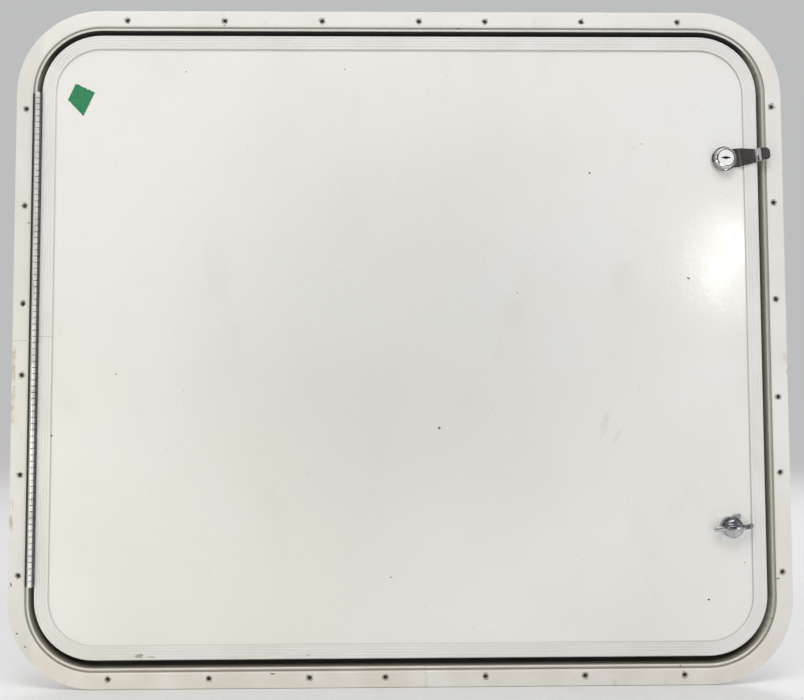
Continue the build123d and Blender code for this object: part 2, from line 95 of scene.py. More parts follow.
class Finish:
    """A material being made: one Principled shader and the nodes that feed it."""

    def __init__(self, name, colour, roughness, metallic=0.0):
        self.material = bpy.data.materials.new(name)
        self.material.use_nodes = True
        self.tree = self.material.node_tree
        self.shader = self.tree.nodes["Principled BSDF"]
        self.set("Base Color", (*colour, 1.0))
        self.set("Roughness", roughness)
        self.set("Metallic", metallic)
        self.place = self.make("ShaderNodeTexCoord").outputs["Object"]

    def set(self, socket, value):
        """Put a number, a colour or another node's output on one of the shader's sockets."""
        self.plug(self.shader.inputs[socket], value)

    def plug(self, target, value):
        """Put a value or another node's output on a socket."""
        if isinstance(value, bpy.types.NodeSocket):
            self.tree.links.new(value, target)
        else:
            target.default_value = value

    def make(self, kind, inputs=(), **settings):
        """A new node, with its settings and its first inputs in order. None leaves an input as it is."""
        made = self.tree.nodes.new(kind)
        for name, value in settings.items():
            setattr(made, name, value)
        for index, value in enumerate(inputs):
            if value is not None:
                self.plug(made.inputs[index], value)
        return made

    def math(self, operation, a, b=0.0):
        return self.make("ShaderNodeMath", (a, b), operation=operation).outputs[0]

    def vector(self, operation, a, b=(0.0, 0.0, 0.0)):
        made = self.make("ShaderNodeVectorMath", (a, b), operation=operation)
        return made.outputs["Value" if operation == "LENGTH" else "Vector"]

    def parts(self, vector):
        """A vector's x, y and z."""
        return self.make("ShaderNodeSeparateXYZ", (vector,)).outputs

    def stretched(self, x, y, z):
        """The place on the object with each direction scaled, for a noise drawn out along one."""
        return self.vector("MULTIPLY", self.place, (x, y, z))

    def noise(self, scale, detail=4.0, place=None):
        inputs = (place or self.place, None, scale, detail)
        return self.make("ShaderNodeTexNoise", inputs).outputs["Fac"]

    def spread(self, value, low, high, to_low=0.0, to_high=1.0):
        """Spread a value from low..high to to_low..to_high, smoothly and without overshoot."""
        inputs = (value, low, high, to_low, to_high)
        made = self.make("ShaderNodeMapRange", inputs, interpolation_type="SMOOTHSTEP")
        return made.outputs["Result"]

    def mix(self, share, a, b):
        """The colour between a and b."""
        made = self.make("ShaderNodeMix", data_type="RGBA")
        for socket, value in zip((made.inputs[0], made.inputs[6], made.inputs[7]), (share, a, b)):
            is_colour = isinstance(value, tuple)
            self.plug(socket, (*value, 1.0) if is_colour else value)
        return made.outputs[2]

    def bump(self, height, strength, distance):
        made = self.make("ShaderNodeBump")
        self.plug(made.inputs["Height"], height)
        made.inputs["Strength"].default_value = strength
        made.inputs["Distance"].default_value = distance
        self.set("Normal", made.outputs["Normal"])

    def edge_inset(self, lift=0.0):
        """The distance inwards from the frame's outer edge, its foot raised by lift, round corners too."""
        level = self.vector("SUBTRACT", self.place, (0.0, 0.0, lift / 2))
        flat = self.vector("MULTIPLY", self.vector("ABSOLUTE", level), (1.0, 0.0, 1.0))
        bend = (HALF_W - CORNER_R, 0.0, HALF_H - lift / 2 - CORNER_R)
        past_bend = self.vector("SUBTRACT", flat, bend)
        outside = self.vector("LENGTH", self.vector("MAXIMUM", past_bend))
        x, _, z = self.parts(past_bend)
        inside = self.math("MINIMUM", self.math("MAXIMUM", x, z), 0.0)
        return self.math("SUBTRACT", CORNER_R, self.math("ADD", outside, inside))

    def band(self, value, low, high, soft):
        """1 between low and high and 0 outside, with soft edges."""
        rise = self.spread(value, low - soft, low)
        fall = self.spread(value, high, high + soft, 1.0, 0.0)
        return self.math("MULTIPLY", rise, fall)

    def both(self, a, b):
        """Two shares together: each one thins the other."""
        return self.math("MULTIPLY", a, b)


# Colours that several finishes share, or that one finish builds up in steps
WHITE_PAINT = (0.80, 0.785, 0.755)
YELLOWED_PAINT = (0.74, 0.715, 0.67)
WHITE_TRIM = (0.775, 0.765, 0.74)
YELLOWED_TRIM = (0.72, 0.705, 0.67)
GELCOAT = (0.83, 0.825, 0.80)
YELLOWED_COAT = (0.80, 0.785, 0.735)
# painted shade for the middle of the panel
MIDDLE_PAINTED_SHADE = (0.30, 0.31, 0.30)
GREY_FILM = (0.62, 0.60, 0.55)
SCUFF_GREY = (0.55, 0.54, 0.50)
OLD_DIRT = (0.30, 0.26, 0.20)
GREY_DIRT = (0.42, 0.41, 0.39)
FOOT_DIRT = (0.60, 0.53, 0.41)
# painted shade on the trim's sides in the gap
SIDE_PAINTED_SHADE = (0.36, 0.36, 0.33)
# painted shade beside the hinge and on the flanks of its knuckles
HINGE_PAINTED_SHADE = (0.06, 0.058, 0.055)
JAMB_FILM = (0.36, 0.34, 0.28)
BEAD_FILM = (0.40, 0.385, 0.32)
# painted shade deep in the gap round the door and along the top jamb
GAP_PAINTED_SHADE = (0.05, 0.047, 0.044)
BROWN_STAIN = (0.36, 0.27, 0.14)

# Where dirt and painted shade lie: each pair is where it starts to change, along x, y, z or outwards, and
# where it is done
HINGE_SIDE = (-370.0 * MM, -375.0 * MM)
LEFT_SIDE = (-370.0 * MM, -380.0 * MM)
RIGHT_SIDE = (355.0 * MM, 375.0 * MM)
FRAME_FOOT = (-270.0 * MM, -340.0 * MM)
FRAME_HEAD = (270.0 * MM, 310.0 * MM)
DEEP_IN_GAP = (3.0 * MM, 13.0 * MM)
JAMB_START = (GROOVE_END + 1.4 * MM, GROOVE_END + 1.9 * MM)
RIGHT_SEAM = (150.0 * MM, 340.0 * MM)
PANEL_SHADE_REACH = (60.0 * MM, 340.0 * MM)
TRIM_SIDE = (4.0 * MM, 14.0 * MM)

# How deep the gap's grey film and painted shade reach, and the heights and insets of the flange's stains
GAP_BACK_Y = 24.0 * MM
STAIN_HEIGHTS = ((-78.0 * MM, -6.0 * MM), (-186.0 * MM, -162.0 * MM))
STAIN_INSETS = (0.8 * MM, 3.6 * MM)


def aged_paint(f, z):
    """The frame's paint: yellowed in clouds, smudged, and dirty along the foot."""
    paint = f.mix(f.spread(f.noise(9.0, 5.0), 0.35, 0.75), WHITE_PAINT, YELLOWED_PAINT)
    smudge = f.spread(f.noise(60.0, 6.0, f.stretched(1.0, 1.0, 0.45)), 0.64, 0.76, 0.0, 0.35)
    paint = f.mix(smudge, paint, OLD_DIRT)
    patches = f.spread(f.noise(24.0, 5.0), 0.25, 0.7, 0.05, 0.38)
    return f.mix(f.both(f.spread(z, *FRAME_FOOT), patches), paint, FOOT_DIRT)


def groove_grime_and_shade(f, paint, inset, x, z):
    """Dirt and painted shade in the groove, with painted shadow nearly black beside the hinge, and a film on
    the bead, thick on the right.
    """
    groove = f.band(inset, FLANGE_W - 0.1 * MM, GROOVE_END, 0.3 * MM)
    # the groove's darkening is part grime, part painted shade
    paint = f.mix(f.both(groove, 0.52), paint, OLD_DIRT)
    # painted shadow of the hinge in the groove beside it
    hinge_shadow_share = f.both(f.spread(x, *HINGE_SIDE), f.band(z, HINGE_LOW, HINGE_HIGH, 1.0 * MM))
    paint = f.mix(f.both(groove, hinge_shadow_share), paint, HINGE_PAINTED_SHADE)
    bead = f.band(inset, GROOVE_END, GROOVE_END + BEAD_W, 0.2 * MM)
    return f.mix(f.both(bead, f.spread(x, *RIGHT_SIDE, 0.12, 0.8)), paint, BEAD_FILM)


def gap_shade(f, paint, inset, x, y, z):
    """The jamb beside the door: a grey film of dirt, and painted shade further in and along the top. Both
    thin out on the right, where the jamb is painted lighter, as lit.
    """
    jamb = f.spread(inset, *JAMB_START)
    in_gap = f.both(f.band(y, FLANGE_FACE_Y + 1.5 * MM, GAP_BACK_Y, 1.0 * MM), 0.97)
    right = f.spread(x, *RIGHT_SIDE)
    # the film thins on the right, so that jamb is painted lighter, as lit
    film_thinned_where_lit = f.math("SUBTRACT", 1.0, f.both(right, 0.65))
    paint = f.mix(f.both(f.both(jamb, in_gap), film_thinned_where_lit), paint, JAMB_FILM)
    # painted shade: nearly black deeper in the gap and all along the top jamb
    painted_shade_far_in = f.math("MAXIMUM", f.spread(y, *DEEP_IN_GAP), f.spread(z, *FRAME_HEAD))
    painted_shade_far_in = f.both(painted_shade_far_in, f.math("SUBTRACT", in_gap, f.both(right, 0.85)))
    return f.mix(f.both(jamb, painted_shade_far_in), paint, GAP_PAINTED_SHADE)


def left_stains(f, paint, inset, x, z):
    """A grey film down the left flange, and brown stains near its outer edge."""
    left = f.spread(x, *LEFT_SIDE)
    paint = f.mix(f.both(left, 0.16), paint, GREY_DIRT)
    high, low = (f.band(z, *heights, 6.0 * MM) for heights in STAIN_HEIGHTS)
    stain = f.both(f.math("MAXIMUM", high, low), f.band(inset, *STAIN_INSETS, 1.2 * MM))
    patchy = f.spread(f.noise(150.0, 2.0), 0.35, 0.70, 0.0, 0.55)
    return f.mix(f.both(f.both(stain, left), patchy), paint, BROWN_STAIN)


def painted_frame():
    """White paint on the frame, with grime and painted shade in its groove, painted shade in the gap, and
    old stains.
    """
    f = Finish("painted_frame", WHITE_PAINT, 0.38)
    x, y, z = f.parts(f.place)
    inset = f.edge_inset()
    paint = aged_paint(f, z)
    paint = groove_grime_and_shade(f, paint, inset, x, z)
    paint = gap_shade(f, paint, inset, x, y, z)
    f.set("Base Color", left_stains(f, paint, inset, x, z))
    f.set("Roughness", f.spread(f.noise(35.0), 0.3, 0.7, 0.30, 0.46))
    f.bump(f.noise(900.0, 2.0), 0.05, 0.2 * MM)
    return f.material


def painted_trim():
    """White paint on the ribbed trim, with dirt held in its fine grooves, and painted shade deeper down its
    sides.
    """
    f = Finish("painted_trim", WHITE_TRIM, 0.36)
    y = f.parts(f.place)[1]
    in_rib = f.spread(y, TRIM_FACE_Y + 0.05 * MM, TRIM_FACE_Y + RIB_DEPTH, 0.0, 0.16)
    on_face = f.spread(y, TRIM_FACE_Y + 0.7 * MM, TRIM_FACE_Y + 1.2 * MM, 1.0, 0.0)
    paint = f.mix(f.spread(f.noise(12.0, 5.0), 0.35, 0.75), WHITE_TRIM, YELLOWED_TRIM)
    paint = f.mix(f.both(in_rib, on_face), paint, GREY_DIRT)
    # painted shade that deepens down the trim's sides, into the gap
    f.set("Base Color", f.mix(f.spread(y, *TRIM_SIDE, 0.0, 0.5), paint, SIDE_PAINTED_SHADE))
    f.set("Roughness", f.spread(f.noise(40.0), 0.3, 0.7, 0.28, 0.44))
    f.bump(f.noise(700.0, 2.0), 0.04, 0.2 * MM)
    return f.material


def glossy_gelcoat():
    """The panel's gel coat: glossy, faintly wavy, with yellowed clouds, fine scuffs and rubbed marks,
    painted shade in its middle, and a line of dirt and painted shadow along the trim, heavier on the right.
    """
    f = Finish("glossy_gelcoat", GELCOAT, 0.16)
    coat = f.mix(f.spread(f.noise(3.2, 4.0), 0.38, 0.68), GELCOAT, YELLOWED_COAT)
    # painted shade darkening the middle of the panel
    dull = f.spread(f.vector("LENGTH", f.place), *PANEL_SHADE_REACH, 0.16, 0.0)
    coat = f.mix(dull, coat, MIDDLE_PAINTED_SHADE)
    film = f.spread(f.noise(14.0, 6.0, f.stretched(1.0, 1.0, 0.6)), 0.56, 0.80, 0.0, 0.22)
    coat = f.mix(film, coat, GREY_FILM)
    scuff = f.spread(f.noise(3.0, 3.0, f.stretched(26.0, 1.0, 190.0)), 0.70, 0.80, 0.0, 0.18)
    coat = f.mix(scuff, coat, SCUFF_GREY)
    freckle = f.spread(f.noise(420.0, 1.0), 0.76, 0.80, 0.0, 0.30)
    coat = f.mix(freckle, coat, OLD_DIRT)
    # a line along the trim's inner edge: dirt and the trim's painted shadow, heavier on the right
    seam = f.band(f.edge_inset(DOOR_LIFT), TRIM_INNER - 1.0 * MM, TRIM_INNER + 0.9 * MM, 0.6 * MM)
    seam_dirt_and_shadow = f.spread(f.parts(f.place)[0], *RIGHT_SEAM, 0.30, 0.62)
    f.set("Base Color", f.mix(f.both(seam, seam_dirt_and_shadow), coat, GREY_DIRT))
    f.set("Roughness", f.spread(f.noise(18.0, 5.0), 0.3, 0.75, 0.13, 0.24))
    f.set("Coat Weight", 0.35)
    f.set("Coat Roughness", 0.13)
    orange_peel = f.math("MULTIPLY", f.noise(230.0, 3.0), 1.7)
    f.bump(f.math("ADD", f.noise(26.0, 2.0), orange_peel), 0.10, 0.6 * MM)
    return f.material


def white_lining():
    """The inside face of the panel: plain white sheet with a fine pebble."""
    f = Finish("white_lining", (0.74, 0.73, 0.70), 0.5)
    clean, aged = (0.75, 0.74, 0.71), (0.71, 0.70, 0.665)
    f.set("Base Color", f.mix(f.spread(f.noise(6.0, 5.0), 0.35, 0.75), clean, aged))
    f.bump(f.noise(650.0, 2.0), 0.18, 0.3 * MM)
    return f.material


def foam_fill():
    """Pale yellow foam between the two skins."""
    f = Finish("foam_fill", (0.70, 0.60, 0.38), 0.9)
    dark, light = (0.62, 0.52, 0.32), (0.74, 0.65, 0.44)
    cells = f.make("ShaderNodeTexVoronoi", (f.place, None, 900.0)).outputs["Distance"]
    f.set("Base Color", f.mix(cells, dark, light))
    f.bump(cells, 0.4, 0.3 * MM)
    return f.material


def seal_rubber():
    """Black bulb seal, dusty in patches."""
    f = Finish("seal_rubber", (0.02, 0.02, 0.02), 0.7)
    black, dusty = (0.014, 0.014, 0.014), (0.10, 0.095, 0.085)
    f.set("Base Color", f.mix(f.spread(f.noise(40.0, 5.0), 0.45, 0.75, 0.0, 0.35), black, dusty))
    f.bump(f.noise(1200.0, 2.0), 0.15, 0.1 * MM)
    return f.material


def hinge_steel():
    """Bright rolled hinge metal with fine lines along it, grey film, and painted shade on its flanks."""
    f = Finish("hinge_steel", (0.66, 0.65, 0.63), 0.26, 0.45)
    bright, filmed = (0.86, 0.85, 0.83), (0.50, 0.49, 0.47)
    lines = f.noise(60.0, 3.0, f.stretched(40.0, 40.0, 1.5))
    metal = f.mix(f.spread(f.noise(55.0, 5.0), 0.45, 0.72, 0.0, 0.6), bright, filmed)
    from_pin = f.math("ABSOLUTE", f.math("SUBTRACT", f.parts(f.place)[0], middle("hinge_pin").x))
    # painted shade on the knuckles' sides, away from the pin
    flank_shade = f.spread(from_pin, 1.5 * MM, 2.3 * MM, 0.0, 0.92)
    f.set("Base Color", f.mix(flank_shade, metal, HINGE_PAINTED_SHADE))
    f.set("Roughness", f.spread(lines, 0.3, 0.7, 0.20, 0.36))
    f.bump(lines, 0.06, 0.1 * MM)
    return f.material


def pin_in_painted_shade():
    """The hinge pin, dark as painted shade in the slits between the knuckles."""
    f = Finish("pin_in_painted_shade", (0.05, 0.048, 0.045), 0.6, 0.3)
    dark, light = (0.025, 0.024, 0.022), (0.09, 0.085, 0.08)
    f.set("Base Color", f.mix(f.noise(400.0), dark, light))
    return f.material


def bright_chrome():
    """Chrome plate with faint rubbing and a little pitting."""
    f = Finish("bright_chrome", (0.55, 0.54, 0.54), 0.08, 1.0)
    plate, pitted = (0.56, 0.55, 0.55), (0.22, 0.20, 0.18)
    f.set("Base Color", f.mix(f.spread(f.noise(1500.0, 2.0), 0.70, 0.76, 0.0, 0.6), plate, pitted))
    f.set("Roughness", f.spread(f.noise(180.0, 4.0), 0.35, 0.75, 0.04, 0.11))
    return f.material


def reflection_painted_chrome():
    """The thumb turn's chrome: dull, with a painted reflection, dark above a wavy line through its middle
    and bright below.
    """
    f = Finish("reflection_painted_chrome", (0.24, 0.25, 0.27), 0.16, 1.0)
    # lower and upper are painted reflection: bright below the line, dark above it
    lower, upper, rubbed = (0.52, 0.53, 0.54), (0.11, 0.115, 0.125), (0.40, 0.40, 0.41)
    half_wave, wave_height = 10.0 * MM, 1.6 * MM
    worn = f.spread(f.noise(260.0, 4.0), 0.45, 0.72, 0.0, 0.5)
    x, _, z = f.parts(f.vector("SUBTRACT", f.place, tuple(KNOB_CENTRE)))
    line = f.math("MULTIPLY", f.math("SINE", f.math("MULTIPLY", x, pi / half_wave)), wave_height)
    above = f.spread(f.math("SUBTRACT", z, line), -0.8 * MM, 1.2 * MM)
    f.set("Base Color", f.mix(worn, f.mix(above, lower, upper), rubbed))
    f.set("Roughness", f.spread(f.noise(180.0, 4.0), 0.35, 0.75, 0.10, 0.24))
    return f.material


def pale_plate():
    """The thumb latch's base plate, painted pale as its reflection of the white panel, with a dark patch at
    its upper right.
    """
    f = Finish("pale_plate", (0.86, 0.86, 0.85), 0.24, 0.4)
    # bright and pale are painted reflection of the white panel
    bright, pale, dull = (0.89, 0.89, 0.88), (0.82, 0.82, 0.81), (0.34, 0.34, 0.34)
    x, _, z = f.parts(f.vector("SUBTRACT", f.place, tuple(KNOB_CENTRE)))
    patch = f.both(f.spread(z, 7.0 * MM, 9.0 * MM), f.band(x, 2.0 * MM, 9.0 * MM, 2.0 * MM))
    f.set("Base Color", f.mix(patch, f.mix(f.noise(500.0), bright, pale), dull))
    return f.material


def satin_plug():
    """The lock plug's face: finely mottled satin metal, with painted shade in its sunk keyway."""
    f = Finish("satin_plug", (0.90, 0.89, 0.88), 0.34, 0.25)
    bright, grey, keyway = (0.93, 0.92, 0.91), (0.66, 0.65, 0.63), (0.012, 0.012, 0.012)
    face_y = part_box("key_lock_plug")[0].y
    mottle = f.noise(1400.0, 2.0)
    metal = f.mix(f.spread(mottle, 0.6, 0.8, 0.0, 0.4), bright, grey)
    # painted shade in the keyway, below the face
    keyway_shade_share = f.spread(f.parts(f.place)[1], face_y + 0.25 * MM, face_y + 0.7 * MM)
    f.set("Base Color", f.mix(keyway_shade_share, metal, keyway))
    f.set("Roughness", f.spread(f.noise(300.0), 0.3, 0.7, 0.30, 0.42))
    f.bump(mottle, 0.06, 0.1 * MM)
    return f.material


def zinc_plate():
    """Zinc plated steel on the inside, with a dull spangle."""
    f = Finish("zinc_plate", (0.52, 0.52, 0.50), 0.4, 1.0)
    bright, dull = (0.58, 0.58, 0.56), (0.40, 0.39, 0.36)
    cells = f.make("ShaderNodeTexVoronoi", (f.place, None, 420.0)).outputs["Distance"]
    f.set("Base Color", f.mix(cells, bright, dull))
    f.set("Roughness", f.spread(f.noise(150.0), 0.3, 0.7, 0.32, 0.52))
    return f.material


def green_tape():
    """Green masking tape: fine crepe lines across it and a dull shine."""
    f = Finish("green_tape", (0.02, 0.25, 0.10), 0.55)
    dark, light = (0.010, 0.165, 0.062), (0.025, 0.25, 0.105)
    crepe = f.noise(260.0, 3.0, f.stretched(1.0, 1.0, 5.0))
    f.set("Base Color", f.mix(f.spread(crepe, 0.3, 0.7), dark, light))
    f.bump(crepe, 0.35, 0.2 * MM)
    return f.material


def dried_dirt():
    """Dark specks, and the dark fill in the screw holes."""
    f = Finish("dried_dirt", (0.05, 0.045, 0.04), 0.8)
    dark, light = (0.025, 0.022, 0.02), (0.11, 0.095, 0.08)
    f.set("Base Color", f.mix(f.noise(900.0), dark, light))
    f.bump(f.noise(1500.0), 0.3, 0.1 * MM)
    return f.material


def faint_scuff():
    """Grey rubber and grit rubbed into the gel coat."""
    f = Finish("faint_scuff", (0.5, 0.49, 0.46), 0.5)
    dark, light = (0.62, 0.61, 0.58), (0.77, 0.765, 0.74)
    f.set("Base Color", f.mix(f.noise(300.0), dark, light))
    f.bump(f.noise(800.0), 0.1, 0.1 * MM)
    return f.material


def bare_chip():
    """Bare aluminium where the paint is torn or scraped off."""
    f = Finish("bare_chip", (0.42, 0.40, 0.37), 0.5, 0.4)
    dark, light = (0.26, 0.24, 0.21), (0.62, 0.60, 0.56)
    f.set("Base Color", f.mix(f.noise(700.0), dark, light))
    f.bump(f.noise(1500.0), 0.5, 0.1 * MM)
    return f.material


CHROME = bright_chrome()
REFLECTION_PAINTED_CHROME = reflection_painted_chrome()
HINGE_STEEL = hinge_steel()
ZINC = zinc_plate()
DIRT = dried_dirt()
SCUFF = faint_scuff()
CHIP = bare_chip()


def paint_node(name, material):
    """Give a solid its finish."""
    materials = nodes[name].data.materials
    materials.clear()
    materials.append(material)


def piece(name, mesh, body, material, crease=None):
    """A finished mesh as an object that rides on a body. Edges turn sharp past the crease in degrees."""
    mesh.materials.append(material)
    if crease is not None:
        mesh.shade_smooth()
        mesh.set_sharp_from_angle(angle=radians(crease))
    made = bpy.data.objects.new(name, mesh)
    bpy.context.scene.collection.objects.link(made)
    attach(made, body)
    return made


def mesh_from(name, vertices, faces):
    """A mesh from its points and faces."""
    mesh = bpy.data.meshes.new(name)
    mesh.from_pydata([tuple(v) for v in vertices], [], faces)
    mesh.validate()
    return mesh


def add_to(vertices, faces, more_vertices, more_faces):
    """Join more points and faces to a list of points and a list of faces."""
    start = len(vertices)
    faces.extend(tuple(start + i for i in face) for face in more_faces)
    vertices.extend(more_vertices)


def angles(sides):
    """Evenly spaced angles round a circle."""
    return [2 * pi * side / sides for side in range(sides)]


def ring_faces(rings, points, closed=False):
    """The faces between rings of points. A closed row of rings ends where it starts."""
    faces = []
    for ring in range(rings if closed else rings - 1):
        here, after = ring * points, (ring + 1) % rings * points
        for i in range(points):
            k = (i + 1) % points
            faces.append((here + i, here + k, after + k, after + i))
    return faces


def bar_faces(rings, points):
    """The faces of a bar made of rings of points, with both of its ends."""
    last = (rings - 1) * points
    ends = [tuple(range(points))[::-1], tuple(range(last, last + points))]
    return ring_faces(rings, points) + ends


# Softened solids: points closer than the weld are one, faces within the flat angle are one,
# and edges sharper than the sharp angle are rounded. Angles in degrees.
WELD = 0.002 * MM
FLAT_ANGLE = 0.8
SHARP_ANGLE = 35
ROUND_STEPS = 3


def softened(node, body, material, width):
    """A copy of a solid whose edges are slightly rounded, in place of the solid."""
    shape = bmesh.new()
    shape.from_mesh(nodes[node].data)
    bmesh.ops.remove_doubles(shape, verts=shape.verts, dist=WELD)
    edges, corners = list(shape.edges), list(shape.verts)
    bmesh.ops.dissolve_limit(shape, angle_limit=radians(FLAT_ANGLE), verts=corners, edges=edges)
    mesh = bpy.data.meshes.new(f"{node}_soft")
    shape.to_mesh(mesh)
    shape.free()
    made = piece(f"{node}_soft", mesh, body, material, SHARP_ANGLE)
    bevel = made.modifiers.new("edges", "BEVEL")
    bevel.width = width
    bevel.segments = ROUND_STEPS
    bevel.limit_method = "ANGLE"
    bevel.angle_limit = radians(SHARP_ANGLE)
    bevel.harden_normals = True
    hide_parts(node)


def ring_mesh(name, profile, corner_steps=24):
    """A closed profile of (inset, y) points carried round the frame's rounded rectangle."""
    vertices = []
    for corner in range(4):
        turn_x = HALF_W - CORNER_R if corner in (0, 3) else CORNER_R - HALF_W
        turn_z = HALF_H - CORNER_R if corner in (0, 1) else CORNER_R - HALF_H
        for step in range(corner_steps + 1):
            angle = radians(90 * corner + 90 * step / corner_steps)
            for inset, y in profile:
                reach = CORNER_R - inset
                vertices.append((turn_x + reach * cos(angle), y, turn_z + reach * sin(angle)))
    stations = 4 * (corner_steps + 1)
    return mesh_from(name, vertices, ring_faces(stations, len(profile), closed=True))


# Seal: the bulb is a half round, a little pressed
BULB_STEPS = 12
BULB_PRESSED = 0.9
BULB_CREASE = 50


def bulb_seal():
    """The seal with a round bulb in place of the solid's sloped shoulders."""
    low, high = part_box("stop_seal")
    near = HALF_W - high.x
    far = near + SEAL_W
    half = (far - near) / 2
    profile = [(near, high.y), (far, high.y)]
    for step in range(BULB_STEPS + 1):
        angle = pi * step / BULB_STEPS
        y = low.y + half * BULB_PRESSED * (1 - sin(angle))
        profile.append((near + half + half * cos(angle), y))
    mesh = ring_mesh("bulb_seal", profile)
    seal = piece("bulb_seal", mesh, "frame", seal_rubber(), BULB_CREASE)
    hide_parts("stop_seal")


# Hinge: slits wider than the solids', and where the roll leaves the leaf and how far it turns, in degrees
KNUCKLE_GAP = 0.30 * MM
KNUCKLE_BEVEL = 0.35 * MM
ROLL_ROOT = 0.72
ROLL_START = 58
ROLL_TURN = 302
ROLL_STEPS = 18
SMALL_CREASE = 40


def prism_rows(outline, stations):
    """Points and faces of an outline of (x, y) points carried up through (z, shrink) stations."""
    centre = Vector((sum(p[0] for p in outline), sum(p[1] for p in outline))) / len(outline)
    vertices = []
    for z, shrink in stations:
        for x, y in outline:
            out = Vector((x, y)) - centre
            short = max(out.length - shrink, 0) / out.length
            vertices.append((centre.x + out.x * short, centre.y + out.y * short, z))
    return vertices, bar_faces(len(stations), len(outline))


def rolled_leaf(node, body, side, first):
    """One hinge leaf: a flat strip with round rolled knuckles along its edge."""
    low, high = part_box(node)
    pin = middle("hinge_pin")
    radius = (high.x - low.x) / 2
    outer_x, inner_x = pin.x + side * radius, pin.x + side * (radius - LEAF_T)
    notch_y = pin.y + LEAF_NOTCH
    outline = [(outer_x, notch_y), (inner_x, notch_y), (inner_x, pin.y + radius * ROLL_ROOT)]
    for step in range(ROLL_STEPS + 1):
        angle = radians(ROLL_START + ROLL_TURN * step / ROLL_STEPS)
        outline.append((pin.x + side * radius * cos(angle), pin.y + radius * sin(angle)))
    vertices, faces = [], []
    count = round((high.z - low.z) / KNUCKLE_PITCH)
    for index in range(first, count, 2):
        foot = low.z + index * KNUCKLE_PITCH + KNUCKLE_GAP
        head = foot + KNUCKLE_PITCH - 2 * KNUCKLE_GAP
        lower = [(foot, KNUCKLE_BEVEL), (foot + KNUCKLE_BEVEL, 0)]
        upper = [(head - KNUCKLE_BEVEL, 0), (head, KNUCKLE_BEVEL)]
        add_to(vertices, faces, *prism_rows(outline, lower + upper))
    strip = [(outer_x, notch_y), (inner_x, notch_y), (inner_x, high.y), (outer_x, high.y)]
    add_to(vertices, faces, *prism_rows(strip, [(low.z, 0), (high.z, 0)]))
    mesh = mesh_from(f"{node}_rolled", vertices, faces)
    leaf = piece(f"{node}_rolled", mesh, body, HINGE_STEEL, SMALL_CREASE)
    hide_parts(node)


# Thumb turn, in the plane of the door: along its wings, then across them
KNOB_TILT = 6.7
KNOB_GAP = 0.3 * MM
KNOB_R = 10.75 * MM
KNOB_SKIRT = 5.0 * MM
KNOB_SIDES = 72
SKIRT_BEVEL = 0.4 * MM
RIM_H = 1.2 * MM
RIM_BEVEL = 0.3 * MM
RIM_W = 0.9 * MM
RIM_GROOVE = 0.4 * MM
DOME_R = 11.2 * MM
DOME_INSET = 1.2 * MM
DOME_STEPS = 18
SCOOP = 0.26
SCOOP_EDGE = (1.0 * MM, 4.5 * MM)
RIDGE_SHIFT = 0.5 * MM
WING_HALF = 20.4 * MM
WING_W = 4.9 * MM
WING_BOW = 0.9 * MM
WING_T = 4.4 * MM
WING_LIFT = 3.2 * MM
WING_STATIONS = 49
WING_POINTS = 16
WING_SQUARENESS = 0.6
TIP_T_SHARE = 0.78
TIP_HALF = 0.05 * MM
SPINDLE_R = 5.0 * MM
SPINDLE_SIDES = 24
SQUARE_HALF = 3.0 * MM


def smooth(value, low, high):
    """0 up to low, 1 from high on, and a smooth step between."""
    share = min(max((value - low) / (high - low), 0.0), 1.0)
    return share * share * (3 - 2 * share)


def squarer(value):
    """A sine or cosine, so changed that a circle drawn with it comes nearer to a square."""
    return abs(value) ** WING_SQUARENESS * (1 if value >= 0 else -1)


def wing_line(along):
    """How far the wings' middle line bows to one side, S-shaped from tip to tip."""
    return -WING_BOW * sin(pi * along / WING_HALF)


def knob_height(along, across):
    """The domed top above its rim, scooped out on both sides of a ridge."""
    reach = min(sqrt(along**2 + across**2), KNOB_R)
    dome = sqrt(DOME_R**2 - reach**2) - sqrt(DOME_R**2 - KNOB_R**2)
    away = abs(across - wing_line(along) - RIDGE_SHIFT)
    return dome * (1 - SCOOP * smooth(away, *SCOOP_EDGE))


def knob_point(along, across, y):
    """A point of the knob, from its own directions to the scene's."""
    tilt = radians(KNOB_TILT)
    x = KNOB_CENTRE.x + along * cos(tilt) - across * sin(tilt)
    z = KNOB_CENTRE.z + along * sin(tilt) + across * cos(tilt)
    return (x, y, z)


def knob_cap(foot_y):
    """The round knob: skirt, rim, a fine groove and the scooped dome, as rings from the foot up."""
    rim_y = foot_y - KNOB_SKIRT
    skirt = [(KNOB_R - SKIRT_BEVEL, foot_y), (KNOB_R, foot_y - SKIRT_BEVEL), (KNOB_R, rim_y + RIM_H)]
    rim = [(KNOB_R - RIM_BEVEL, rim_y + RIM_BEVEL), (KNOB_R - RIM_W, rim_y + RIM_GROOVE)]
    vertices = []
    for reach, y in skirt + rim:
        for angle in angles(KNOB_SIDES):
            vertices.append(knob_point(reach * cos(angle), reach * sin(angle), y))
    for step in range(DOME_STEPS):
        reach = (KNOB_R - DOME_INSET) * (1 - step / DOME_STEPS)
        for angle in angles(KNOB_SIDES):
            along, across = reach * cos(angle), reach * sin(angle)
            vertices.append(knob_point(along, across, rim_y - knob_height(along, across)))
    top = len(vertices)
    vertices.append(knob_point(0, 0, rim_y - knob_height(0, 0)))
    faces = ring_faces(len(skirt) + len(rim) + DOME_STEPS, KNOB_SIDES)
    last = top - KNOB_SIDES
    for side in range(KNOB_SIDES):
        faces.append((last + side, last + (side + 1) % KNOB_SIDES, top))
    return vertices, faces


